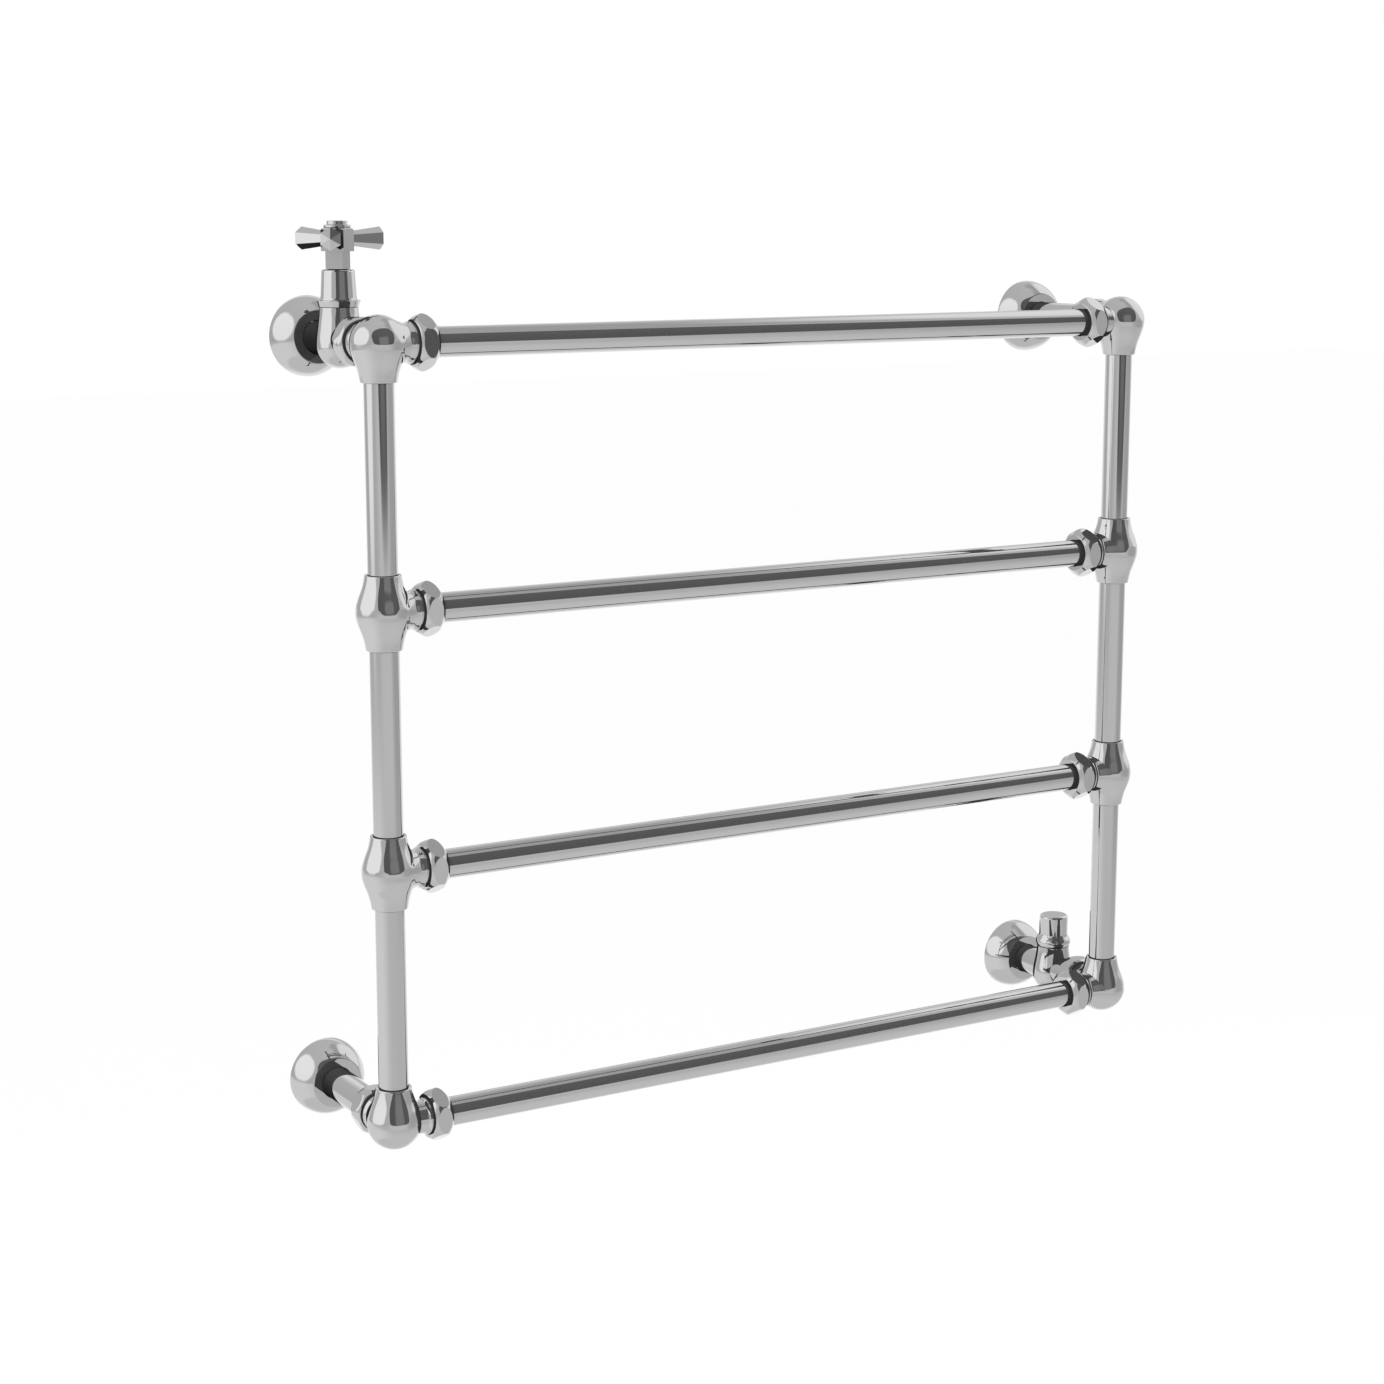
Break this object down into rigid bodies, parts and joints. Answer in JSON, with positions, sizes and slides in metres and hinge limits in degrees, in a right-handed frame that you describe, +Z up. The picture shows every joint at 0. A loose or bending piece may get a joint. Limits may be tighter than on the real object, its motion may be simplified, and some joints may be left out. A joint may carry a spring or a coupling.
{
  "type": "towel radiator with crosshead valve",
  "caption": "Wall-hung chrome ladder towel radiator with ball-shaped joints, hexagonal unions, a crosshead valve at the top left and a capped lockshield valve at the bottom right.",
  "frame": {"origin": "on the wall's face, in the middle of the four wall fixings", "axes": "+X along the rails to the right seen from the room, +Y into the wall, +Z up"},
  "size_m": [0.843, 0.1695, 0.7923],
  "materials": {
    "chrome": "polished",
    "brass": "machined",
    "steel": "brushed",
    "rubber": "matte"
  },
  "bodies": {
    "radiator_body": {"rail_top": "chrome", "rail_upper": "chrome", "rail_lower": "chrome", "rail_bottom": "chrome", "upright_left_top": "chrome", "upright_left_middle": "chrome", "upright_left_bottom": "chrome", "corner_left_top": "chrome", "rail_nut_left_top": "chrome", "wall_nut_left_top": "chrome", "wall_flange_left_top": "chrome", "wall_bracket_left_top": "chrome", "tee_left_upper": "chrome", "rail_nut_left_upper": "chrome", "tee_left_lower": "chrome", "rail_nut_left_lower": "chrome", "corner_left_bottom": "chrome", "rail_nut_left_bottom": "chrome", "wall_nut_left_bottom": "chrome", "wall_flange_left_bottom": "chrome", "wall_bracket_left_bottom": "chrome", "upright_right_top": "chrome", "upright_right_middle": "chrome", "upright_right_bottom": "chrome", "corner_right_top": "chrome", "rail_nut_right_top": "chrome", "wall_nut_right_top": "chrome", "wall_flange_right_top": "chrome", "wall_bracket_right_top": "chrome", "tee_right_upper": "chrome", "rail_nut_right_upper": "chrome", "tee_right_lower": "chrome", "rail_nut_right_lower": "chrome", "corner_right_bottom": "chrome", "rail_nut_right_bottom": "chrome", "wall_nut_right_bottom": "chrome", "wall_flange_right_bottom": "chrome", "wall_bracket_right_bottom": "chrome", "vent_plug": "chrome", "valve_body": "chrome", "valve_headwork": "brass", "valve_bonnet": "chrome", "lockshield_body": "chrome", "lockshield_headwork": "brass"},
    "handle": {"cross_handle": "chrome", "handle_screw": "steel", "handle_cap": "chrome", "valve_spindle": "brass"},
    "jumper": {"jumper_valve": "brass", "jumper_washer": "rubber"},
    "shield_cap": {"lockshield_cap": "chrome"},
    "shield_spindle": {"lockshield_spindle": "brass"},
    "shield_plug": {"lockshield_plug": "brass"},
    "bleed_screw": {"vent_screw": "chrome"}
  },
  "joints": [
    {"name": "handle_turn", "type": "hinge", "parent": "radiator_body", "child": "handle", "pos_m": [-0.387, -0.0695, 0.33], "axis": [0, 0, 1], "range_deg": [-900, 0]},
    {"name": "jumper_lift", "type": "slide", "parent": "radiator_body", "child": "jumper", "axis": [0, 0, 1], "range_m": [-0.0038, 0]},
    {"name": "shield_cap_lift", "type": "slide", "parent": "radiator_body", "child": "shield_cap", "axis": [0, 0, 1], "range_m": [0, 0.035]},
    {"name": "shield_spindle_turn", "type": "hinge", "parent": "radiator_body", "child": "shield_spindle", "pos_m": [0.387, -0.0695, -0.33], "axis": [0, 0, 1], "range_deg": [-900, 0]},
    {"name": "shield_plug_lift", "type": "slide", "parent": "radiator_body", "child": "shield_plug", "axis": [0, 0, 1], "range_m": [-0.0038, 0]},
    {"name": "bleed_screw_turn", "type": "hinge", "parent": "radiator_body", "child": "bleed_screw", "pos_m": [0.387, -0.146, 0.33], "axis": [1, 0, 0], "range_deg": [0, 360]}
  ],
  "couplings": [
    {"joint": "jumper_lift", "follows": "handle_turn", "m_per_rad": 0.0002387},
    {"joint": "shield_plug_lift", "follows": "shield_spindle_turn", "m_per_rad": 0.0002387}
  ]
}
